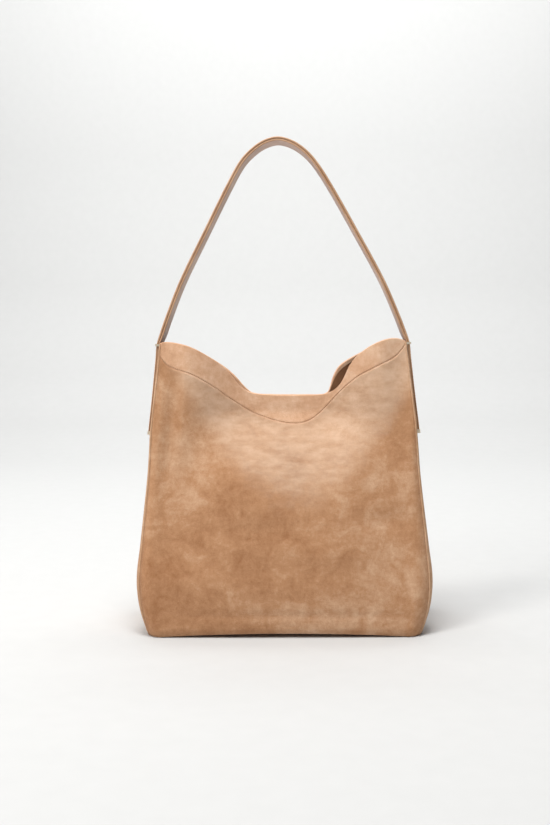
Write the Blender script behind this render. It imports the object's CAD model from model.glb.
"""Looks of the suede hobo bag: soft sewn shell, layered strap, metal, stitching and studio light.

All shapes are worked out in millimetres, as in the CAD part, and turned into metres when a mesh is made.
"""

import math

import bpy
import numpy as np
from mathutils import Euler, Matrix, Vector


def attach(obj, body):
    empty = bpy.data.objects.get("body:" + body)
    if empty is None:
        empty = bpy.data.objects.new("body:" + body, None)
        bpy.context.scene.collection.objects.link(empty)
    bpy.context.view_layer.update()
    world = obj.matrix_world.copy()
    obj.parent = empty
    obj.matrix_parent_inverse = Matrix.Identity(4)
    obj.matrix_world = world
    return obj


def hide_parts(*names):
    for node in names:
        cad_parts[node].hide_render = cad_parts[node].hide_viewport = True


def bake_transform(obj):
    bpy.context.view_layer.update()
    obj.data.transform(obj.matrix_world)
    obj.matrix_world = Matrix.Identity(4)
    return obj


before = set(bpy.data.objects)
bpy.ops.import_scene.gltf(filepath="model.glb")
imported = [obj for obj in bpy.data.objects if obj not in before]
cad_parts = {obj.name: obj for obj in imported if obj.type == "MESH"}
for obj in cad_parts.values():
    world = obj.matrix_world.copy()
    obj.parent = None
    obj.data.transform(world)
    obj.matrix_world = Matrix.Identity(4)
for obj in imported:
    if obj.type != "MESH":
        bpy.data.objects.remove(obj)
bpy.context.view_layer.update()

MM = 0.001

# ---------------------------------------------------------------- the bag's shape, as in the CAD part

# Height, half width, half depth at the sides, half depth in the middle, swell of the ears, corner radius.
BODY_SHAPE = np.array([
    (0.0, 157.0, 69.0, 70.3, 0.0, 16.0),
    (30.0, 167.0, 69.0, 72.5, 0.0, 20.0),
    (60.0, 170.5, 67.5, 73.5, 0.0, 22.0),
    (100.0, 168.2, 61.5, 69.5, 0.0, 21.0),
    (140.0, 164.0, 53.5, 60.0, 0.0, 18.0),
    (180.0, 160.0, 45.5, 44.5, 0.5, 14.5),
    (212.0, 157.8, 39.5, 27.0, 2.5, 12.0),
    (234.0, 155.5, 35.5, 12.5, 5.0, 10.5),
    (248.0, 153.9, 33.0, 7.0, 6.2, 9.8),
    (260.0, 152.5, 31.0, 6.5, 6.9, 9.2),
    (290.0, 149.3, 26.0, 6.5, 8.0, 8.2),
    (340.0, 144.4, 20.0, 6.5, 8.0, 7.2),
])
# Across and up: the mouth edges, the yoke seam, and the outer face of the strap from right to left.
FRONT_EDGE = np.array([
    (-185, 319), (-151, 323), (-146, 331.5), (-139, 334), (-125, 332.5), (-108.5, 328), (-85.5, 315.5),
    (-68, 302), (-56, 286), (-47, 277), (-36, 272), (-15, 270), (25, 269.5), (48, 270.5), (60, 275.5),
    (69, 285.5), (79, 306), (91, 319.5), (107, 330), (125, 336), (138, 335.5), (145.5, 331),
    (150, 322), (185, 318),
], float)
BACK_EDGE = np.array([
    (-185, 318), (-151, 322), (-146, 330), (-139, 332), (-125, 330.5), (-108.5, 325), (-87, 313),
    (-70.5, 303), (-58, 292.5), (-46, 279), (-37, 272), (-15, 270), (25, 269.5), (44, 269.5), (51.5, 271.5),
    (55, 277), (58, 288), (62.5, 298), (69, 305.5), (80, 312.5), (95, 320), (110, 328), (125, 333.5),
    (138, 334), (145.5, 330), (150, 322), (185, 318),
], float)
YOKE_SEAM = np.array([
    (-185, 330), (-149, 328), (-146.5, 321), (-142, 312.5), (-133, 305), (-108, 296.3), (-85.5, 283),
    (-62.5, 265.5), (-39, 250.3), (-21, 243), (-6, 238.7), (9.5, 236.3), (22, 237), (33, 241), (44, 249),
    (56, 261.5), (67.5, 274), (79, 284.5), (90.5, 293.5), (114, 306), (131.5, 314.5), (140, 323),
    (145, 329), (185, 332),
], float)
STRAP_PATH = np.array([
    (149.3, 330), (138.0, 363), (120.0, 405.5), (90.2, 462), (59, 518.5), (41, 546.7),
    (27, 561.5), (12, 571), (-4, 575), (-20.5, 571), (-35, 561.5), (-49, 546.7),
    (-65, 518.5), (-93.5, 462), (-121.5, 405.5), (-138.5, 363), (-149.3, 330),
], float)

SUEDE = 1.6              # thickness of the suede
LINING_FAR = 3.2         # inner face of the lining and the facing, measured in from the outer face
FACING_FAR = 3.6
GUSSET_TOP = 324.0
BASE_BOW = 4.6           # how far the middle of the base stands off the surface
BASE_REACH = 152.0       # where that bow ends, to either side
FOOT_FLARE = 6.2         # how far the front and back swell out above the base
FOOT_TUCK = 1.9          # how far the bottom edge rolls in, and over what height
TUCK_HEIGHT = 5.0
GUSSET_DENT = 5.0
CLOTH_STEPS = 16
CLOTH_REACH = 3.2        # the furthest that a point may settle
CLOTH_BLUR = 14          # rounds of evening out between neighbouring points

STRAP_WIDTH = 38.0
STRAP_LOOP_THICK = 4.8
STRAP_END_THICK = 2.8
STRAP_STANDOFF = 3.7     # outer face of the strap ends, outside the gussets
STRAP_BEND_POINT = (147.8, 336.0)
TIP_Z = 225.0
KEEPER_Z = 330.0


def smooth(low, high, value):
    """0 at low, 1 at high, and a soft step between them."""
    t = np.clip((np.asarray(value, float) - low) / (high - low), 0.0, 1.0)
    return t * t * (3 - 2 * t)


def hermite(knots, values, at):
    """A smooth curve through (knots, values), as the CAD part draws it."""
    at = np.asarray(at, float)
    k = np.clip(np.searchsorted(knots, at, side="left") - 1, 0, len(knots) - 2)
    span = knots[k + 1] - knots[k]
    t = (at - knots[k]) / span
    low = np.maximum(np.arange(len(knots)) - 1, 0)
    high = np.minimum(np.arange(len(knots)) + 1, len(knots) - 1)
    slope = (values[high] - values[low]) / (knots[high] - knots[low])
    blend = t * t * (3 - 2 * t)
    bow = t * (1 - t) * (1 - t) * slope[k] * span - t * t * (1 - t) * slope[k + 1] * span
    return values[k] + (values[k + 1] - values[k]) * blend + bow


def shape_at(z, column):
    """One column of BODY_SHAPE at heights z."""
    return hermite(BODY_SHAPE[:, 0], BODY_SHAPE[:, column], z)


def half_width(z):
    return shape_at(z, 1)


def edge_height(edge, x):
    """Height of a mouth edge or of the yoke seam at x."""
    return hermite(edge[:, 0], edge[:, 1], x)


def wall_depth(x, z):
    """Distance of the front or back wall from the middle plane."""
    side = shape_at(z, 2)
    middle = shape_at(z, 3)
    reach = half_width(z) - corner_at(z)
    t = np.minimum(np.abs(x) / reach, 1.0)
    pinch = 1 - smooth(0.28, 1.0, t)
    ear = smooth(0.3, 0.72, t) * (1 - smooth(0.78, 1.0, t))
    return side + (middle - side) * pinch + shape_at(z, 4) * ear


# ---------------------------------------------------------------- one net of points over the whole shell
#
# Columns run round the bag: front wall from its left seam to its right one, right gusset, back wall,
# left gusset. Rows run from the bottom edge to the yoke seam and on to the mouth edge.

FACE_COLUMNS = 60
CORNER_COLUMNS = 5
GUSSET_COLUMNS = 14
SEAM_ROWS = 44
TOP_ROWS = 12
ROWS = SEAM_ROWS + TOP_ROWS


def wall_columns():
    """Each wall column's place: from -1 to 1 across the face, and its turn round a corner in degrees."""
    across = np.linspace(-1, 1, FACE_COLUMNS + 1)
    turns = np.linspace(0, 90, CORNER_COLUMNS + 1)[1:]
    places = [(-1.0, a) for a in turns[::-1]] + [(t, 0.0) for t in across] + [(1.0, a) for a in turns]
    return np.array(places)


SEAM_TURN = 2.2          # how many corner columns the side seams lie in from the gussets
WALL_COLUMNS = wall_columns()
WALL_COUNT = len(WALL_COLUMNS)


def corner_at(z):
    """Corner radius: the soft corners draw up into crisper ones below the strap."""
    return shape_at(z, 5) * (1 - 0.5 * smooth(200, 250, z))


def wall_xy(place, turn, z):
    """A wall column's x, and its distance from the middle plane, at heights z."""
    corner = corner_at(z)
    reach = half_width(z) - corner
    side = shape_at(z, 2)
    angle = math.radians(turn)
    if turn == 0:
        x = reach * place
        return x, wall_depth(x, z)
    x = place * (reach + corner * math.sin(angle))
    return x, side - corner * (1 - math.cos(angle))


def column_heights(place, turn, seam, edge):
    """Heights of the rows of one wall column, with a row along the yoke seam."""
    seam_z = 290.0
    edge_z = 320.0
    for _ in range(12):
        x, _depth = wall_xy(place, turn, seam_z)
        seam_z = float(edge_height(seam, x))
        x, _depth = wall_xy(place, turn, edge_z)
        edge_z = 0.5 * edge_z + 0.5 * float(edge_height(edge, x))
    seam_z = min(seam_z, edge_z - 4.0)
    lower = seam_z * row_shares()
    upper = np.linspace(seam_z, edge_z, TOP_ROWS + 1)[1:]
    return np.concatenate([lower, upper])


def row_shares():
    """The rows below the yoke seam, from 0 to 1, closer together near the base."""
    share = np.linspace(0, 1, SEAM_ROWS + 1)
    return 0.82 * share + 0.18 * share ** 2


def bottom_tuck(z):
    """How far the bottom edge of the shell rolls in under the bag."""
    t = np.clip(1 - z / TUCK_HEIGHT, 0, 1)
    return FOOT_TUCK * (1 - np.sqrt(1 - t * t + 1e-9))


def base_lift(x):
    """The middle of the base bows up off the surface between the corners."""
    return BASE_BOW * np.clip(1 - (np.abs(x) / BASE_REACH) ** 2.0, 0, 1)


# Swells and dents of the soft walls: how far out, x and z of the middle, reach across and up, and lean.
FOLDS = [
    (2.6, -146, 255, 8, 70, 0.02),
    (-3.4, -129, 250, 9, 62, 0.10),
    (-4.2, 112, 232, 24, 42, -0.18),
    (2.2, 84, 190, 26, 34, 0.3),
    (-2.6, -100, 214, 20, 46, 0.22),
    (2.0, -66, 176, 34, 26, 0.0),
    (-1.6, -30, 118, 60, 15, 0.0),
    (1.6, 60, 92, 52, 18, 0.0),
    (-1.8, 118, 128, 30, 12, 0.0),
    (1.3, -118, 66, 40, 22, 0.0),
    (-1.2, 10, 21, 150, 6, 0.0),
]
BACK_SHARE = 0.55        # the back wall's folds are flatter


def soft_folds(x, z, front):
    """Outward swell and dents of the soft walls, in millimetres."""
    fold = 0.0
    for out, middle_x, middle_z, across, up, lean in FOLDS:
        aside = (x - middle_x) - lean * (z - middle_z)
        fold = fold + out * np.exp(-(aside / across) ** 2 - ((z - middle_z) / up) ** 2)
    keep = smooth(0, 18, half_width(z) - np.abs(x)) * smooth(2, 26, z)
    return fold * keep * (1.0 if front else BACK_SHARE)


def build_wall(front, edge):
    """Columns of the front or back wall."""
    wall = []
    for place, turn in WALL_COLUMNS:
        z = column_heights(place, turn, YOKE_SEAM, edge)
        x, depth = wall_xy(place, turn, z)
        lip = smooth(232, 246, z) * (1 - smooth(58, 82, np.abs(x)))
        depth = depth + soft_folds(x, z, front) * (1 - lip) - bottom_tuck(z)
        depth = depth + FOOT_FLARE * (1 - smooth(0, 75, z)) * (1 - turn / 90.0)
        lift = base_lift(x) * (1 - smooth(0, 60, z))
        wall.append(np.stack([x, -depth if front else depth, z + lift], axis=1))
    return wall


def build_gusset(start):
    """Columns of the right gusset between the walls. Its edges meet a wall's end, at heights start."""
    seam_z = GUSSET_TOP * 0.965
    levels = np.concatenate([seam_z * row_shares(), np.linspace(seam_z, GUSSET_TOP, TOP_ROWS + 1)[1:]])
    gusset = []
    for share in np.linspace(-1, 1, GUSSET_COLUMNS + 1)[1:-1]:
        z = levels * (1 - abs(share) ** 6) + start * abs(share) ** 6
        z = np.minimum(z, np.maximum(start, levels))
        half = shape_at(z, 2) - corner_at(z)
        dent = GUSSET_DENT * (1 - abs(share) ** 2) * smooth(230, 120, z) * smooth(0, 60, z)
        x = half_width(z) - dent - bottom_tuck(z)
        gusset.append(np.stack([x, share * half, z], axis=1))
    return gusset


def build_net():
    """Points of the whole shell's outer face: an array [column, row, xyz] in millimetres."""
    front = build_wall(True, FRONT_EDGE)
    back = build_wall(False, BACK_EDGE)
    right = build_gusset(front[-1][:, 2])
    left = [g * np.array([-1, -1, 1]) for g in right]
    return np.array(front + right + back[::-1] + left)


NET = build_net()
RIGHT_START = WALL_COUNT
BACK_START = WALL_COUNT + GUSSET_COLUMNS - 1
LEFT_START = BACK_START + WALL_COUNT
LOOP = len(NET)


def loop_mesh(points):
    """The closed net as one mesh, for the cloth simulation."""
    count, rows = points.shape[:2]
    faces = []
    for c in range(count):
        d = (c + 1) % count
        for r in range(rows - 1):
            faces.append((c * rows + r, d * rows + r, d * rows + r + 1, c * rows + r + 1))
    mesh = bpy.data.meshes.new("shell_net")
    mesh.from_pydata((points.reshape(-1, 3) * MM).tolist(), [], faces)
    return mesh


def held_points(points):
    """How firmly each point is held while the cloth settles: the base, the mouth's edge and its closed
    middle, the corners below the strap, and the back wall round the zip."""
    flat = points.reshape(-1, 3)
    x, z = np.abs(flat[:, 0]), flat[:, 2]
    columns, rows = points.shape[:2]
    hold = 0.03 + 0.97 * (1 - smooth(6, 110, z))
    top = np.tile(np.arange(rows) >= rows - 2, columns)
    hold = np.maximum(hold, top * 0.9)
    hold = np.maximum(hold, smooth(205, 250, z) * (1 - smooth(40, 135, x)))
    hold = np.maximum(hold, smooth(140, 150, x) * smooth(205, 235, z))
    zip_zone = (flat[:, 1] > 0) & (x < 92) & (z > 168) & (z < 216)
    return np.maximum(hold, zip_zone * 1.0)


def sag(points):
    """Lets the shell settle as cloth, then evens out how far its points moved."""
    item = bpy.data.objects.new("shell_net", loop_mesh(points))
    bpy.context.scene.collection.objects.link(item)
    flat = points.reshape(-1, 3)
    hold = held_points(points)
    group = item.vertex_groups.new(name="held")
    for k, weight in enumerate(hold):
        group.add([k], float(weight), "REPLACE")
    cloth = item.modifiers.new("Cloth", "CLOTH")
    settings = cloth.settings
    settings.quality = 6
    settings.mass = 0.4
    settings.vertex_group_mass = "held"
    settings.pin_stiffness = 1.5
    settings.tension_stiffness = 12
    settings.compression_stiffness = 6
    settings.shear_stiffness = 4
    settings.bending_stiffness = 1.2
    settings.use_pressure = True
    settings.uniform_pressure_force = 0.25
    settings.shrink_min = -0.012
    settings.effector_weights.gravity = 1.0
    cloth.collision_settings.use_self_collision = False
    cloth.point_cache.frame_end = CLOTH_STEPS
    scene = bpy.context.scene
    for step in range(1, CLOTH_STEPS + 1):
        scene.frame_set(step)
    baked = item.evaluated_get(bpy.context.evaluated_depsgraph_get())
    moved = np.empty(len(flat) * 3)
    baked.data.vertices.foreach_get("co", moved)
    moved = moved.reshape(-1, 3) / MM
    scene.frame_set(1)
    bpy.data.objects.remove(item)
    shift = moved - flat
    length = np.linalg.norm(shift, axis=1, keepdims=True)
    shift = shift * np.minimum(1, CLOTH_REACH / np.maximum(length, 1e-6))
    shift = (shift * (1 - smooth(0.2, 0.95, hold))[:, None]).reshape(points.shape)
    for _ in range(CLOTH_BLUR):
        beside = np.roll(shift, 1, axis=0) + np.roll(shift, -1, axis=0)
        below = np.concatenate([shift[:, :1], shift[:, :-1]], axis=1)
        above = np.concatenate([shift[:, 1:], shift[:, -1:]], axis=1)
        shift = 0.4 * shift + 0.15 * (beside + below + above)
    return points + shift


NET = sag(NET)


def net_normals(points):
    """Outward directions of the net's points."""
    around = np.roll(points, -1, axis=0) - np.roll(points, 1, axis=0)
    up = np.gradient(points, axis=1)
    normal = np.cross(around, up)
    return normal / np.linalg.norm(normal, axis=2, keepdims=True)


NORMALS = net_normals(NET)


def catmull(a, b, c, d, t):
    """A smooth value between b and c, t of the way along."""
    t = t[..., None]
    second = 2 * a - 5 * b + 4 * c - d
    third = 3 * b - a - 3 * c + d
    return 0.5 * (2 * b + (c - a) * t + second * t ** 2 + third * t ** 3)


def on_net(values, column, row):
    """Values of the net at places between its points."""
    column, row = np.broadcast_arrays(np.asarray(column, float), np.asarray(row, float))
    row = np.clip(row, 0, ROWS - 1e-6)
    c0, r0 = np.floor(column).astype(int), np.floor(row).astype(int)
    tc, tr = column - c0, row - r0

    def along_row(r):
        r = np.clip(r, 0, ROWS)
        return catmull(*(values[(c0 + k) % LOOP, r] for k in (-1, 0, 1, 2)), tc)

    below = np.where((r0 > 0)[..., None], along_row(r0 - 1), 2 * along_row(r0) - along_row(r0 + 1))
    over = 2 * along_row(r0 + 1) - along_row(r0)
    above = np.where((r0 + 2 <= ROWS)[..., None], along_row(r0 + 2), over)
    return catmull(below, along_row(r0), along_row(r0 + 1), above, tr)


def skin(column, row, inset=0.0):
    """Points of the shell, inset from its outer face. Columns and rows may be fractions."""
    point = on_net(NET, column, row)
    normal = on_net(NORMALS, column, row)
    normal = normal / np.linalg.norm(normal, axis=-1, keepdims=True)
    return point - normal * np.asarray(inset, float)[..., None], normal


# ---------------------------------------------------------------- making pieces

def piece_from(name, points, faces, material):
    """A smooth piece from points in millimetres, on the root body until it is blended."""
    mesh = bpy.data.meshes.new(name)
    mesh.from_pydata((np.asarray(points).reshape(-1, 3) * MM).tolist(), [], faces)
    mesh.validate()
    mesh.polygons.foreach_set("use_smooth", [True] * len(mesh.polygons))
    item = bpy.data.objects.new(name, mesh)
    bpy.context.scene.collection.objects.link(item)
    mesh.materials.append(material)
    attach(item, "root")
    return item


def tube_faces(stations, sides, base=0):
    """Faces of a closed tube: rings of points one after another, with both ends capped."""
    faces = []
    for k in range(stations - 1):
        near, far = base + k * sides, base + (k + 1) * sides
        for s in range(sides):
            n = (s + 1) % sides
            faces.append((near + s, near + n, far + n, far + s))
    last = base + (stations - 1) * sides
    faces.append(tuple(base + s for s in range(sides))[::-1])
    faces.append(tuple(last + s for s in range(sides)))
    return faces


def band_faces(columns, count):
    """Faces round a sheet's cross-section, from column to column, with its two ends left open."""
    faces = []
    for c in range(columns - 1):
        near, far = c * count, (c + 1) * count
        for r in range(count):
            s = (r + 1) % count
            faces.append((near + r, far + r, far + s, near + s))
    return faces


def sheet_piece(name, column, row, near, far, material):
    """A closed sheet over part of the shell. Its faces lie near and far inside the shell's outer face."""
    outer, _normal = skin(column[:, None], row, near)
    inner, _normal = skin(column[:, None], row, far)
    columns, rows = outer.shape[:2]
    ring = np.concatenate([outer, inner[:, ::-1]], axis=1)
    count = ring.shape[1]
    faces = band_faces(columns, count)
    last = (columns - 1) * count
    for base in (0, last):
        for r in range(rows - 1):
            quad = (base + r, base + r + 1, base + count - 2 - r, base + count - 1 - r)
            faces.append(quad[::-1] if base else quad)
    return piece_from(name, ring, faces, material)


def capsules(name, starts, ends, lifts, radius, material):
    """Many short threads as one mesh: each runs from start to end and bows up by its lift."""
    points, faces = [], []
    rings, sides = 5, 6
    for start, end, lift in zip(starts, ends, lifts):
        start, end, lift = (np.asarray(v, float) for v in (start, end, lift))
        along = end - start
        length = np.linalg.norm(along)
        along = along / max(length, 1e-9)
        up = lift / max(np.linalg.norm(lift), 1e-9)
        across = np.cross(along, up)
        faces.extend(tube_faces(rings, sides, len(points)))
        for k in range(rings):
            t = k / (rings - 1)
            bow = math.sin(math.pi * t)
            centre = start + along * length * t + up * (radius * (bow - 0.35))
            thick = radius * (0.45 + 0.55 * bow ** 0.5)
            for s in range(sides):
                a = 2 * math.pi * s / sides
                points.append(centre + across * thick * math.cos(a) + up * thick * math.sin(a))
    return piece_from(name, points, faces, material)


def spaced(points, normals, pitch, share=0.68):
    """Stitch starts, ends and lifts along a line of points."""
    step = np.linalg.norm(np.diff(points, axis=0), axis=1)
    travel = np.concatenate([[0], np.cumsum(step)])
    count = max(int(travel[-1] / pitch), 1)
    at = (np.arange(count) + 0.5) * travel[-1] / count
    reach = pitch * share / 2

    def place(values, s):
        return np.stack([np.interp(s, travel, values[:, k]) for k in range(3)], axis=1)

    return place(points, at - reach), place(points, at + reach), place(normals, at)


# ---------------------------------------------------------------- materials

def srgb(*colour):
    """A colour given as screen values from 0 to 255."""
    out = []
    for value in colour:
        v = value / 255
        out.append(v / 12.92 if v <= 0.04045 else ((v + 0.055) / 1.055) ** 2.4)
    return (*out, 1.0)


class Nodes:
    """A short way to write node trees."""

    def __init__(self, name):
        self.material = bpy.data.materials.new(name)
        self.material.use_nodes = True
        self.tree = self.material.node_tree
        self.tree.nodes.clear()
        self.output = self.add("ShaderNodeOutputMaterial")
        self.shader = self.add("ShaderNodeBsdfPrincipled")
        self.link(self.shader, "BSDF", self.output, "Surface")
        self.where = self.add("ShaderNodeTexCoord")

    def add(self, kind, **settings):
        node = self.tree.nodes.new(kind)
        for key, value in settings.items():
            setattr(node, key, value)
        return node

    def link(self, source, output, target, slot):
        self.tree.links.new(source.outputs[output], target.inputs[slot])

    def mapped(self, scale, turn=(0, 0, 0), shift=(0, 0, 0)):
        node = self.add("ShaderNodeMapping")
        node.inputs["Scale"].default_value = scale
        node.inputs["Rotation"].default_value = turn
        node.inputs["Location"].default_value = shift
        self.link(self.where, "Object", node, "Vector")
        return node

    def noise(self, scale, detail=3.0, rough=0.5, distortion=0.0, source=None):
        node = self.add("ShaderNodeTexNoise")
        node.inputs["Scale"].default_value = scale
        node.inputs["Detail"].default_value = detail
        node.inputs["Roughness"].default_value = rough
        node.inputs["Distortion"].default_value = distortion
        if source is None:
            self.link(self.where, "Object", node, "Vector")
        else:
            self.link(source, "Vector", node, "Vector")
        return node

    def ramp(self, source, output, stops):
        node = self.add("ShaderNodeValToRGB")
        elements = node.color_ramp.elements
        while len(elements) < len(stops):
            elements.new(0.5)
        for element, (place, colour) in zip(elements, stops):
            element.position = place
            element.color = colour
        self.link(source, output, node, "Fac")
        return node

    def math(self, kind, a, b=None, c=None):
        node = self.add("ShaderNodeMath", operation=kind)
        for slot, value in enumerate((a, b, c)):
            if value is None:
                continue
            if isinstance(value, tuple):
                self.tree.links.new(value[0].outputs[value[1]], node.inputs[slot])
            else:
                node.inputs[slot].default_value = value
        return node

    def mix(self, factor, a, b):
        """The colour a turning into the plain colour b. The factor and a are (node, output)."""
        node = self.add("ShaderNodeMix", data_type="RGBA", blend_type="MIX")
        self.tree.links.new(factor[0].outputs[factor[1]], node.inputs[0])
        self.tree.links.new(a[0].outputs[a[1]], node.inputs[6])
        node.inputs[7].default_value = b
        return node

    def soft_step(self, source, output, low, high):
        node = self.add("ShaderNodeMapRange", interpolation_type="SMOOTHERSTEP")
        node.inputs["From Min"].default_value = low
        node.inputs["From Max"].default_value = high
        self.link(source, output, node, "Value")
        return node

    def bump(self, source, output, strength, distance, chain=None):
        node = self.add("ShaderNodeBump")
        node.inputs["Strength"].default_value = strength
        node.inputs["Distance"].default_value = distance
        self.link(source, output, node, "Height")
        if chain is not None:
            self.link(chain, "Normal", node, "Normal")
        return node

    def set(self, **values):
        for key, value in values.items():
            self.shader.inputs[key.replace("_", " ")].default_value = value


def suede_material(name, dark, mid, light, pale=None):
    """Brushed suede: broad clouds, faint strokes where the nap lies over, and fine short fibres.
    A paler colour is for the nap that has been stroked upwards below the front's mouth."""
    m = Nodes(name)
    clouds = m.noise(7.5, 3.0, 0.5, 0.4)
    patches = m.noise(1.0, 4.0, 0.58, 0.8, m.mapped((34, 34, 30), (0, 0.4, 0)))
    strokes = m.noise(1.0, 3.0, 0.55, 0.2, m.mapped((46, 120, 120), (0.1, 0.6, 0)))
    counter = m.noise(1.0, 3.0, 0.55, 0.2, m.mapped((150, 150, 60), (-0.1, -0.6, 0), (3, 1, 2)))
    mottle = m.noise(230.0, 4.0, 0.72)
    fibres = m.noise(1100.0, 3.0, 0.7)
    level = m.math("ADD", (clouds, "Fac"), -1.11)
    for texture, share in ((patches, 0.80), (strokes, 0.34), (counter, 0.22), (mottle, 0.46), (fibres, 0.40)):
        level = m.math("MULTIPLY_ADD", (texture, "Fac"), share, (level, "Value"))
    tone = m.ramp(level, "Value", [(0.08, dark), (0.5, mid), (0.92, light)])
    colour = (tone, "Color")
    if pale is not None:
        nap = stroked_nap(m, patches, strokes)
        colour = (m.mix((nap, "Value"), colour, pale), 2)
    m.tree.links.new(colour[0].outputs[colour[1]], m.shader.inputs["Base Color"])
    fine = m.bump(fibres, "Fac", 0.45, 0.0005)
    nap_bump = m.bump(mottle, "Fac", 0.4, 0.0012, fine)
    soft = m.bump(patches, "Fac", 0.16, 0.004, nap_bump)
    m.link(soft, "Normal", m.shader, "Normal")
    m.set(Roughness=0.95, Specular_IOR_Level=0.08, Sheen_Weight=0.22, Sheen_Roughness=0.5,
          Sheen_Tint=(1.0, 0.90, 0.80, 1.0))
    return m.material


def stroked_nap(m, patches, strokes):
    """Where the nap lies upwards: a bowl-shaped area of the front below the mouth, fading out in
    patches and strokes. Places are in metres."""
    place = m.add("ShaderNodeSeparateXYZ")
    m.link(m.where, "Object", place, "Vector")
    side = m.math("MULTIPLY_ADD", (place, "X"), 9.0, -0.14)
    bowl = m.math("MULTIPLY", (side, "Value"), (side, "Value"))
    drop = m.math("MULTIPLY_ADD", (bowl, "Value"), 0.090, 0.155)
    torn = m.math("MULTIPLY_ADD", (patches, "Fac"), 0.055, -0.028)
    line = m.math("ADD", (drop, "Value"), (torn, "Value"))
    over = m.math("SUBTRACT", (place, "Z"), (line, "Value"))
    inside = m.soft_step(over, "Value", -0.028, 0.034)
    front = m.soft_step(place, "Y", 0.004, -0.008)
    fleck = m.math("MULTIPLY_ADD", (strokes, "Fac"), 0.702, 0.078)
    share = m.math("MULTIPLY", (inside, "Result"), (front, "Result"))
    return m.math("MULTIPLY", (share, "Value"), (fleck, "Value"))


def leather_material(name, dark, light, rough=0.48, grain=900.0, depth=0.0002, coat=0.05):
    """Smooth leather with a fine pebble grain and soft tonal clouds."""
    m = Nodes(name)
    clouds = m.noise(22.0, 4.0, 0.55, 0.4)
    pores = m.add("ShaderNodeTexVoronoi", feature="F1")
    pores.inputs["Scale"].default_value = grain
    m.link(m.where, "Object", pores, "Vector")
    lines = m.noise(240.0, 4.0, 0.65, 0.2)
    level = m.math("MULTIPLY_ADD", (lines, "Fac"), 0.35, (m.math("MULTIPLY", (clouds, "Fac"), 0.8), "Value"))
    tone = m.ramp(level, "Value", [(0.38, dark), (0.74, light)])
    m.link(tone, "Color", m.shader, "Base Color")
    grain_bump = m.bump(pores, "Distance", 0.35, depth)
    soft = m.bump(lines, "Fac", 0.25, 0.0006, grain_bump)
    m.link(soft, "Normal", m.shader, "Normal")
    gloss = m.math("MULTIPLY_ADD", (lines, "Fac"), 0.2, rough - 0.1)
    m.link(gloss, "Value", m.shader, "Roughness")
    m.set(Specular_IOR_Level=0.4, Coat_Weight=coat, Coat_Roughness=0.4)
    return m.material


def cloth_material(name, dark, light, pitch=0.0009):
    """Twill: fine diagonal ribs with slubs."""
    m = Nodes(name)
    diagonal = m.mapped((1, 1, 1), (0, math.radians(38), 0))
    ribs = m.add("ShaderNodeTexWave", wave_type="BANDS", bands_direction="Z")
    ribs.inputs["Scale"].default_value = 0.314 / pitch
    ribs.inputs["Distortion"].default_value = 0.8
    m.link(diagonal, "Vector", ribs, "Vector")
    slubs = m.noise(300.0, 3.0, 0.6)
    clouds = m.noise(14.0, 3.0, 0.5)
    level = m.math("MULTIPLY_ADD", (ribs, "Fac"), 0.35,
                   (m.math("MULTIPLY_ADD", (slubs, "Fac"), 0.4, (clouds, "Fac")), "Value"))
    tone = m.ramp(level, "Value", [(0.4, dark), (1.0, light)])
    m.link(tone, "Color", m.shader, "Base Color")
    rib_bump = m.bump(ribs, "Fac", 0.4, 0.0003)
    m.link(rib_bump, "Normal", m.shader, "Normal")
    m.set(Roughness=0.88, Specular_IOR_Level=0.2, Sheen_Weight=0.15)
    return m.material


def metal_material(name, colour, rough=0.16, brushed=0.0, metallic=1.0):
    """Plated metal with faint polishing marks and slight tone change."""
    m = Nodes(name)
    marks = m.noise(1.0, 3.0, 0.6, 0.0, m.mapped((300, 2400, 300)))
    clouds = m.noise(120.0, 3.0, 0.5)
    worn = tuple(c * 0.86 for c in colour[:3]) + (1.0,)
    tone = m.ramp(clouds, "Fac", [(0.35, worn), (0.62, colour)])
    m.link(tone, "Color", m.shader, "Base Color")
    gloss = m.math("MULTIPLY_ADD", (marks, "Fac"), 0.12 + brushed, rough - 0.05)
    m.link(gloss, "Value", m.shader, "Roughness")
    lines = m.bump(marks, "Fac", 0.08 + brushed, 0.0001)
    m.link(lines, "Normal", m.shader, "Normal")
    m.set(Metallic=metallic)
    return m.material


def thread_material(name, colour):
    """Waxed thread: twisted plies and a slight sheen."""
    m = Nodes(name)
    plies = m.noise(2400.0, 2.0, 0.5)
    darker = tuple(c * 0.72 for c in colour[:3]) + (1.0,)
    tone = m.ramp(plies, "Fac", [(0.35, darker), (0.6, colour)])
    m.link(tone, "Color", m.shader, "Base Color")
    bump = m.bump(plies, "Fac", 0.4, 0.0002)
    m.link(bump, "Normal", m.shader, "Normal")
    m.set(Roughness=0.7, Specular_IOR_Level=0.3, Sheen_Weight=0.2)
    return m.material


SUEDE_LOOK = suede_material("tan_suede", srgb(150, 102, 67), srgb(182, 136, 100), srgb(213, 176, 145),
                            srgb(226, 196, 170))
YOKE_SUEDE = suede_material("yoke_suede", srgb(182, 134, 99), srgb(212, 168, 135), srgb(235, 202, 173))
EDGE_SUEDE = suede_material("turned_suede_edge", srgb(172, 130, 98), srgb(194, 155, 122), srgb(214, 182, 154))
FACING_LOOK = leather_material("brown_facing", srgb(122, 84, 56), srgb(152, 110, 78), 0.62)
LINING_LOOK = cloth_material("brown_lining", srgb(96, 66, 46), srgb(138, 100, 74))
STRAP_LOOK = leather_material("strap_leather", srgb(176, 132, 98), srgb(206, 166, 132), 0.5)
STRAP_BACK = leather_material("strap_lining_leather", srgb(172, 140, 124), srgb(200, 172, 156), 0.6)
EDGE_PAINT = leather_material("edge_paint", srgb(120, 84, 58), srgb(146, 106, 76), 0.42, 2000.0, 0.00005)
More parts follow.
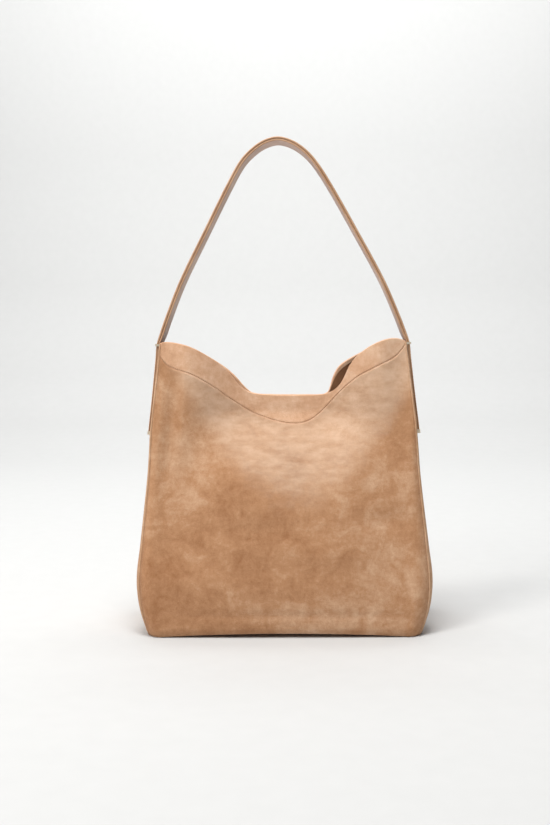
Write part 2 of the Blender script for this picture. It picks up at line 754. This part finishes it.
GOLD = metal_material("pale_gold", (1.0, 0.86, 0.66, 1.0), 0.3, 0.0, 0.7)
STEEL = metal_material("zinc_steel", (0.62, 0.62, 0.62, 1.0), 0.3, 0.1)
NICKEL = metal_material("nickel_cup", (0.80, 0.77, 0.72, 1.0), 0.18)
THREAD = thread_material("tan_thread", srgb(186, 146, 112))
SEAM_THREAD = thread_material("brown_thread", srgb(168, 126, 94))
TAPE_LOOK = cloth_material("zip_tape_weave", srgb(88, 60, 42), srgb(122, 88, 64), 0.0006)
BOARD_LOOK = cloth_material("fibre_board", srgb(70, 62, 54), srgb(96, 88, 78), 0.002)


def dress(node, material):
    """Gives a CAD piece that stays a finished material."""
    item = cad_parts[node]
    item.data.materials.clear()
    item.data.materials.append(material)


# ---------------------------------------------------------------- walls, yokes, facings and linings

def wall_span(front, count):
    """Columns of one wall from seam to seam. The seams lie part of the way round the corners."""
    start = 0 if front else BACK_START
    return np.linspace(start + SEAM_TURN, start + WALL_COUNT - 1 - SEAM_TURN, count)


def hinge_weights(item, front):
    """How far each point of a wall follows the opening mouth: not at all at the seams and the base,
    fully in the middle of the upper part."""
    co = np.empty(len(item.data.vertices) * 3)
    item.data.vertices.foreach_get("co", co)
    co = co.reshape(-1, 3) / MM


def take_off_body(item):
    bpy.context.view_layer.update()
    world = item.matrix_world.copy()
    item.parent = None
    item.matrix_world = world


def swing(item, front):
    """The piece bends with the front or back wall as the mouth opens."""
    take_off_body(item)
    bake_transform(item)
    hinge_weights(item, front)
    return item


# The suede beside the yoke seam: distance from the seam, and how far it lies below the shell's face.
# Both sides turn down into the sewn groove and puff up beside it.
PANEL_PUFF = np.array([
    (0.0, 0.42), (0.2, 0.3), (0.4, 0.12), (0.8, -0.08), (1.4, -0.25), (2.2, -0.38), (3.4, -0.38),
    (5.0, -0.25), (7.5, -0.08), (11.0, 0.0),
])
YOKE_PUFF = np.array([
    (0.0, 0.42), (0.25, 0.25), (0.6, 0.06), (1.2, -0.05), (2.2, -0.1), (3.6, -0.05), (5.5, 0.0),
])
WALL_CUTS = 200          # columns of a panel or yoke
PANEL_CUTS = 95          # rows of a panel below its puffed edge


def seam_rows(column, distance, side):
    """Rows at distances below (side -1) or above (side 1) the yoke seam."""
    step = np.linalg.norm(NET[:, SEAM_ROWS + side] - NET[:, SEAM_ROWS], axis=1)
    pace = np.interp(column, np.arange(LOOP), step)
    return SEAM_ROWS + side * distance[None, :] / pace[:, None]


def panel(front):
    """A lower wall of the bag, from its bottom edge to the yoke seam."""
    name = "front" if front else "back"
    column = wall_span(front, WALL_CUTS)
    seam = seam_rows(column, PANEL_PUFF[::-1, 0], -1)
    lower = seam[:, :1] * np.linspace(0, 1, PANEL_CUTS + 1)[None, :-1]
    row = np.concatenate([lower, seam], axis=1)
    near = np.broadcast_to(np.concatenate([np.zeros(PANEL_CUTS), PANEL_PUFF[::-1, 1]]), row.shape)
    item = sheet_piece(name + "_suede_panel", column, row, near, SUEDE, SUEDE_LOOK)
    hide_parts(name + "_panel")
    return swing(item, front)


def yoke(front):
    """The yoke with its turned mouth edge, rolled over the top and down inside."""
    name = "front" if front else "back"
    column = wall_span(front, WALL_CUTS)
    seam = seam_rows(column, YOKE_PUFF[:, 0], 1)
    lip_start = ROWS - 0.5
    share = np.linspace(0, 1, 24)[1:]
    outer = seam[:, -1:] + (lip_start - seam[:, -1:]) * share[None, :]
    turn = np.sin(np.linspace(0, math.pi / 2, 6))[1:]
    lip = np.broadcast_to(lip_start + 0.5 * turn, (len(column), 5))
    thick = FACING_FAR + 0.2
    roll = thick / 2 * (1 - np.sqrt(1 - turn ** 2 + 1e-9))
    parts = [
        (seam, np.broadcast_to(YOKE_PUFF[:, 1], seam.shape)),
        (outer, np.zeros(outer.shape)),
        (lip, np.broadcast_to(roll, lip.shape)),
        (lip[:, ::-1][:, 1:], np.broadcast_to((thick - roll)[::-1][1:], (len(column), 4))),
    ]
    inner = np.broadcast_to(np.linspace(lip_start, ROWS - 2.4, 9), (len(column), 9))
    parts.append((inner, np.full(inner.shape, thick)))
    under = np.linspace(ROWS - 2.4, SEAM_ROWS + 0.05, 14)
    under = np.broadcast_to(under, (len(column), 14))
    parts.append((under, np.full(under.shape, SUEDE)))
    ring = np.concatenate([skin(column[:, None], rows, inset)[0] for rows, inset in parts], axis=1)
    faces = band_faces(*ring.shape[:2])
    item = piece_from(name + "_suede_yoke", ring, faces, YOKE_SUEDE)
    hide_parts(name + "_yoke")
    return swing(item, front)


def inner_sheet(name, front, low, high, near, far, material, rows):
    """A sheet inside one wall, between two rows of the net."""
    column = wall_span(front, 120)
    row = np.broadcast_to(np.linspace(low, high, rows), (len(column), rows))
    return swing(sheet_piece(name, column, row, near, far, material), front)


def rows_at(column, z):
    """The net's rows where the columns reach height z."""
    low = np.floor(column).astype(int)
    share = column - low
    found = [np.interp(z, NET[c % LOOP, :, 2], np.arange(ROWS + 1)) for c in range(low.min(), low.max() + 2)]
    found = np.array(found)
    return found[low - low.min()] * (1 - share) + found[low + 1 - low.min()] * share


POCKET_WALL_REACH = 147.0    # half length of the walls' flat part behind the pockets


def pocket_sheet(name, front, half_length, bottom, top, near, far, material):
    """A flat pocket lying against one wall."""
    middle = (0 if front else BACK_START) + (WALL_COUNT - 1) / 2
    reach = half_length / POCKET_WALL_REACH * FACE_COLUMNS / 2
    column = np.linspace(middle - reach, middle + reach, 60)
    low, high = rows_at(column, bottom), rows_at(column, top)
    row = low[:, None] + (high - low)[:, None] * np.linspace(0, 1, 34)
    return swing(sheet_piece(name, column, row, near, far, material), front)


for is_front in (True, False):
    label = "front" if is_front else "back"
    panel(is_front)
    yoke(is_front)
    facing = inner_sheet(label + "_facing_band", is_front, ROWS - 11.0, ROWS - 0.9,
                         2.3, FACING_FAR, FACING_LOOK, 16)
    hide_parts(label + "_facing")
    lining = inner_sheet(label + "_lining_cloth", is_front, 0.9, ROWS - 10.5,
                         2.5, LINING_FAR, LINING_LOOK, 60)
    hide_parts(label + "_lining")


slip = pocket_sheet("slip_pocket_leather", True, 75, 80, 190,
                    LINING_FAR + 0.1, LINING_FAR + 1.3, FACING_LOOK)
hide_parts("slip_pocket")
pouch = pocket_sheet("zip_pocket_pouch", False, 85, 80, 188, 1.75, 2.4, LINING_LOOK)
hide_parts("zip_pocket_bag")


# ---------------------------------------------------------------- gussets and base

def gusset(side):
    """A side wall and its lining."""
    start = RIGHT_START - 1 if side == "right" else LEFT_START - 1
    column = np.linspace(start - SEAM_TURN, start + GUSSET_COLUMNS + SEAM_TURN, 48)
    row = np.broadcast_to(np.linspace(0, ROWS, 120), (48, 120))
    outer = sheet_piece("gusset_suede_" + side, column, row, 0.0, SUEDE, SUEDE_LOOK)
    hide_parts("gusset_" + side)
    row = np.broadcast_to(np.linspace(0.9, ROWS - 0.3, 60), (48, 60))
    lining = sheet_piece("gusset_lining_cloth_" + side, column, row,
                         LINING_FAR, LINING_FAR + 0.6, LINING_LOOK)
    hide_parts("gusset_lining_" + side)


for side_name in ("right", "left"):
    gusset(side_name)


def base_slab(name, inset, bottom, top, material):
    """A flat rounded slab inside the bottom edge of the shell, bowed up with it."""
    edge = NET[:, 0, :2]
    reach = np.linalg.norm(edge, axis=1)
    outline = edge * ((reach - inset) / reach)[:, None]
    rings = np.array([1.0, 0.985, 0.95, 0.85, 0.7, 0.5, 0.3, 0.12])
    rounding = 0.35 * (top - bottom)
    down, up = [], []
    for share in rings:
        xy = outline * share
        shrink = rounding if share == 1.0 else 0.0
        lift = base_lift(xy[:, 0])
        down.append(np.column_stack([xy, bottom + shrink + lift]))
        up.append(np.column_stack([xy, top - shrink + lift]))
    points = np.concatenate(down[::-1] + up)
    return piece_from(name, points, tube_faces(2 * len(rings), LOOP), material)


base = base_slab("base_suede", 0.4, 0.0, 1.6, SUEDE_LOOK)
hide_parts("base_panel")
board = base_slab("base_stiffener", 5.0, 1.8, 3.8, BOARD_LOOK)
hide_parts("base_board")
floor_lining = base_slab("base_lining_cloth", 4.4, 4.0, 4.7, LINING_LOOK)
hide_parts("base_lining")


# ---------------------------------------------------------------- seams and stitches

def yoke_stitches(front):
    """The row of stitches just above the yoke seam."""
    name = "front" if front else "back"
    column = wall_span(front, 400)[6:-6]
    row = seam_rows(column, np.array([0.75]), 1)[:, 0]
    points, normals = skin(column, row, np.full(len(column), 0.05))
    starts, ends, lifts = spaced(points, normals, 2.4, 0.62)
    item = capsules(name + "_yoke_stitches", starts, ends, lifts, 0.26, SEAM_THREAD)
    return swing(item, front)


# Cross-section of one raw suede edge: to the side, and up as a share of the ridge's height.
RIDGE = [
    (-0.62, -1.3), (-0.62, 0.55), (-0.46, 0.86), (-0.15, 1.0),
    (0.2, 1.0), (0.5, 0.86), (0.62, 0.55), (0.62, -1.3),
]
RIDGE_HEIGHT = 1.15
RIDGE_SHIFT = 0.55       # each edge's distance from the middle of the seam


def raised_seam(name, column, rows):
    """Two raw suede edges sewn together and standing up along a corner."""
    points, normals = skin(np.full(len(rows), float(column)), rows)
    tangent = np.gradient(points, axis=0)
    tangent = tangent / np.linalg.norm(tangent, axis=1, keepdims=True)
    across = np.cross(tangent, normals)
    across = across / np.linalg.norm(across, axis=1, keepdims=True)
    z = points[:, 2]
    wave = 0.16 * np.sin(z / 5.1 + column) + 0.10 * np.sin(z / 2.3 + 2 * column)
    height = RIDGE_HEIGHT * (0.35 + 0.65 * smooth(0, 16, z)) + wave
    for label, shift in (("a", -RIDGE_SHIFT), ("b", RIDGE_SHIFT)):
        ring = []
        for side, up in RIDGE:
            sideways = across * (shift + side + 0.3 * wave)[:, None]
            ring.append(points + sideways + normals * (height * max(up, 0.0) + min(up, 0.0))[:, None])
        faces = tube_faces(len(rows), len(RIDGE))
        item = piece_from(f"{name}_{label}", np.stack(ring, axis=1), faces, EDGE_SUEDE)


def side_seams():
    """The four corner seams, each with its two raw edges and a row of stitches beside them."""
    places = {"front_right": WALL_COUNT - 1 - SEAM_TURN, "back_right": BACK_START + SEAM_TURN,
              "back_left": BACK_START + WALL_COUNT - 1 - SEAM_TURN, "front_left": SEAM_TURN}
    for name, column in places.items():
        rows = np.linspace(0.5, ROWS - 1.2, 170)
        raised_seam("seam_ridge_" + name, column, rows)
        shift = 0.55 if name in ("front_left", "back_right") else -0.55
        points, normals = skin(np.full(len(rows), column + shift), rows, np.full(len(rows), -0.05))
        starts, ends, lifts = spaced(points, normals, 2.8)
        thread = capsules("seam_stitches_" + name, starts, ends, lifts, 0.22, THREAD)


yoke_stitches(True)
yoke_stitches(False)
side_seams()


# ---------------------------------------------------------------- strap

def strap_line():
    """The strap's outer face from the right tip over the top to the left tip, evenly spaced."""
    z = np.array([TIP_Z + 0.6, 240.0, 260.0, 280.0, 300.0, 315.0])
    low = np.stack([half_width(z) + STRAP_STANDOFF, z], axis=1)
    mirror = np.array([-1, 1])
    bend = np.array([STRAP_BEND_POINT])
    whole = np.concatenate([
        low, STRAP_PATH[:1], bend, STRAP_PATH[1:-1], bend * mirror, STRAP_PATH[-1:], (low * mirror)[::-1],
    ])
    step = np.linalg.norm(np.diff(whole, axis=0), axis=1)
    travel = np.concatenate([[0], np.cumsum(step)])
    fine = np.linspace(0, travel[-1], 420)
    return np.stack([hermite(travel, whole[:, k], fine) for k in (0, 1)], axis=1)


STRAP_LINE = strap_line()


def strap_frame():
    """The strap's line and its inward direction, in the plane of the strap."""
    tangent = np.gradient(STRAP_LINE, axis=0)
    tangent = tangent / np.linalg.norm(tangent, axis=1, keepdims=True)
    return STRAP_LINE, np.stack([-tangent[:, 1], tangent[:, 0]], axis=1)


def strap_layer(name, near, far, width, edge_round, material):
    """One layer of the strap as a closed band with rounded edges."""
    path, inward = strap_frame()
    thin = 1 - smooth(324, 346, path[:, 1])
    scale = (STRAP_END_THICK / STRAP_LOOP_THICK) * thin + (1 - thin)
    near = near * scale
    far = far * scale
    half = width / 2
    turns = [(-half, 0.5), (-half + edge_round * 0.3, 0.12), (-half + edge_round, 0.0)]
    flat = [(-half + edge_round + (width - 2 * edge_round) * k / 8, 0.0) for k in range(1, 8)]
    upper = turns + flat + [(-y, s) for y, s in turns[::-1]]
    lower = [(y, 1 - s) for y, s in upper[::-1]][1:-1]
    section = upper + lower
    rings = []
    for y, share in section:
        depth = near + (far - near) * share
        xz = path + inward * depth[:, None]
        rings.append(np.stack([xz[:, 0], np.full(len(path), y), xz[:, 1]], axis=1))
    return piece_from(name, np.stack(rings, axis=1), tube_faces(len(path), len(section)), material)


def edge_material(item):
    """The lining layer shows its own colour inside the loop and the strap's tan on its cut edges."""
    mesh = item.data
    mesh.materials.append(STRAP_LOOK)
    reach = (STRAP_WIDTH / 2 - 0.9) * MM
    for face in mesh.polygons:
        if abs(face.center.y) > reach:
            face.material_index = 1


def follow_strap(item):
    """The piece bends with the strap, over a short stretch above the keepers."""
    take_off_body(item)
    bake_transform(item)


outer_layer = strap_layer("strap_outer_leather", 0.0, 2.2, STRAP_WIDTH, 0.8, STRAP_LOOK)
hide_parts("strap_outer", "strap_end_left", "strap_end_right")
core_layer = strap_layer("strap_bonded_core", 2.1, 2.9, STRAP_WIDTH - 0.9, 0.3, EDGE_PAINT)
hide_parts("strap_core")
back_layer = strap_layer("strap_back_leather", 2.8, STRAP_LOOP_THICK, STRAP_WIDTH - 0.1, 0.8, STRAP_BACK)
edge_material(back_layer)
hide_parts("strap_lining", "strap_end_lining_left", "strap_end_lining_right")


def strap_stitches():
    """A row of stitches near each edge of the strap, leaving out the keepers and the tips."""
    path, inward = strap_frame()
    for side, label in ((-1, "front"), (1, "back")):
        y = side * (STRAP_WIDTH / 2 - 3.2)
        points = np.stack([path[:, 0], np.full(len(path), y), path[:, 1]], axis=1)
        normals = np.stack([-inward[:, 0], np.zeros(len(path)), -inward[:, 1]], axis=1)
        keep = (np.abs(points[:, 2] - KEEPER_Z) > 4) & (points[:, 2] > TIP_Z + 6)
        groups = np.split(np.arange(len(points)), np.where(np.diff(keep.astype(int)) != 0)[0] + 1)
        starts, ends, lifts = [], [], []
        for group in groups:
            if not keep[group[0]] or len(group) < 4:
                continue
            first, last, lift = spaced(points[group], normals[group], 3.2)
            starts.extend(first)
            ends.extend(last)
            lifts.extend(lift)
        item = capsules(f"strap_stitches_{label}", starts, ends, lifts, 0.3, THREAD)
        follow_strap(item)


for layer in (outer_layer, core_layer, back_layer):
    follow_strap(layer)
strap_stitches()


# ---------------------------------------------------------------- CAD pieces that stay

for metal in ("strap_keeper_left", "strap_keeper_right", "strap_tip_left", "strap_tip_right",
              "zip_slider", "zip_puller", "zip_teeth", "zip_stops"):
    dress(metal, GOLD)
for metal in ("keeper_plate_left", "keeper_plate_right", "strap_washer_left", "strap_washer_right",
              "front_magnet_plate", "back_magnet_plate", "keeper_rivets", "strap_screws"):
    dress(metal, STEEL)
for cup in ("front_magnet", "back_magnet"):
    dress(cup, NICKEL)
dress("zip_tapes", TAPE_LOOK)
dress("zip_welt", FACING_LOOK)


# ---------------------------------------------------------------- studio

def studio():
    """A sheet of paper for the floor that curves up behind the bag."""
    floor = bpy.data.objects.new("studio_floor", bpy.data.meshes.new("studio_floor"))
    bpy.context.scene.collection.objects.link(floor)
    depth = [-4.0, -1.0, 0.6, 1.6, 2.1, 2.4, 2.6, 2.7, 2.7, 2.7]
    height = [0, 0, 0, 0, 0.05, 0.2, 0.5, 1.0, 2.2, 4.5]
    points = [(x, y, z) for y, z in zip(depth, height) for x in (-5, 5)]
    faces = [(2 * k, 2 * k + 1, 2 * k + 3, 2 * k + 2) for k in range(len(depth) - 1)]
    floor.data.from_pydata(points, [], faces)
    floor.data.polygons.foreach_set("use_smooth", [True] * len(faces))
    m = Nodes("studio_paper")
    grain = m.noise(40.0, 2.0, 0.5)
    tone = m.ramp(grain, "Fac", [(0.3, (0.572, 0.574, 0.569, 1)), (0.7, (0.582, 0.584, 0.579, 1))])
    m.link(tone, "Color", m.shader, "Base Color")
    m.set(Roughness=0.9, Specular_IOR_Level=0.1)
    floor.data.materials.append(m.material)


DAYLIGHT = (1.0, 0.99, 0.98)


def area_light(name, place, target, size, power, colour=(1, 1, 1)):
    data = bpy.data.lights.new(name, "AREA")
    data.shape = "RECTANGLE"
    data.size, data.size_y = size
    data.energy = power
    data.color = colour
    light = bpy.data.objects.new(name, data)
    bpy.context.scene.collection.objects.link(light)
    light.location = place
    light.rotation_euler = (Vector(target) - Vector(place)).to_track_quat("-Z", "Y").to_euler()


def lights():
    world = bpy.data.worlds.new("studio_air")
    bpy.context.scene.world = world
    world.use_nodes = True
    air = world.node_tree.nodes["Background"]
    air.inputs["Color"].default_value = (0.97, 0.985, 1, 1)
    air.inputs["Strength"].default_value = 0.26
    area_light("key", (-1.3, -1.3, 2.2), (0, 0, 0.25), (0.8, 0.8), 37, (1.0, 0.985, 0.96))
    area_light("fill", (1.9, -1.4, 0.9), (0, 0, 0.25), (1.6, 1.6), 0.8, DAYLIGHT)
    area_light("side", (-1.9, -0.25, 0.6), (0, 0, 0.2), (1.0, 1.2), 8, DAYLIGHT)
    area_light("top", (0.0, -0.45, 2.3), (0, 0, 0.2), (0.8, 0.8), 35)
    area_light("backdrop", (0, 1.0, 2.7), (0, 2.7, 0.9), (3.0, 1.0), 76)


# Camera: distance and height in metres, turn and roll in degrees, and the lens in millimetres.
DISTANCE = 1.300
EYE_HEIGHT = 0.349
TURN = 1.3
ROLL = -0.5
LENS = 47.476
SENSOR = 36.0
SHIFT = (-0.0097, -0.10242)


def camera():
    """A level camera in front of the bag, shifted so that the bag stands low in the picture."""
    data = bpy.data.cameras.new("camera")
    view = bpy.data.objects.new("camera", data)
    bpy.context.scene.collection.objects.link(view)
    turn = math.radians(TURN)
    view.location = (DISTANCE * math.sin(turn), -DISTANCE * math.cos(turn), EYE_HEIGHT)
    level = Euler((math.radians(90), 0, turn)).to_matrix()
    tilt = Matrix.Rotation(math.radians(ROLL), 3, "Z")
    view.rotation_euler = (level @ tilt).to_euler()
    data.sensor_fit = "VERTICAL"
    data.sensor_height = SENSOR
    data.lens = LENS
    data.shift_x, data.shift_y = SHIFT
    bpy.context.scene.camera = view


studio()
lights()
camera()
bpy.context.scene.view_settings.view_transform = "Standard"
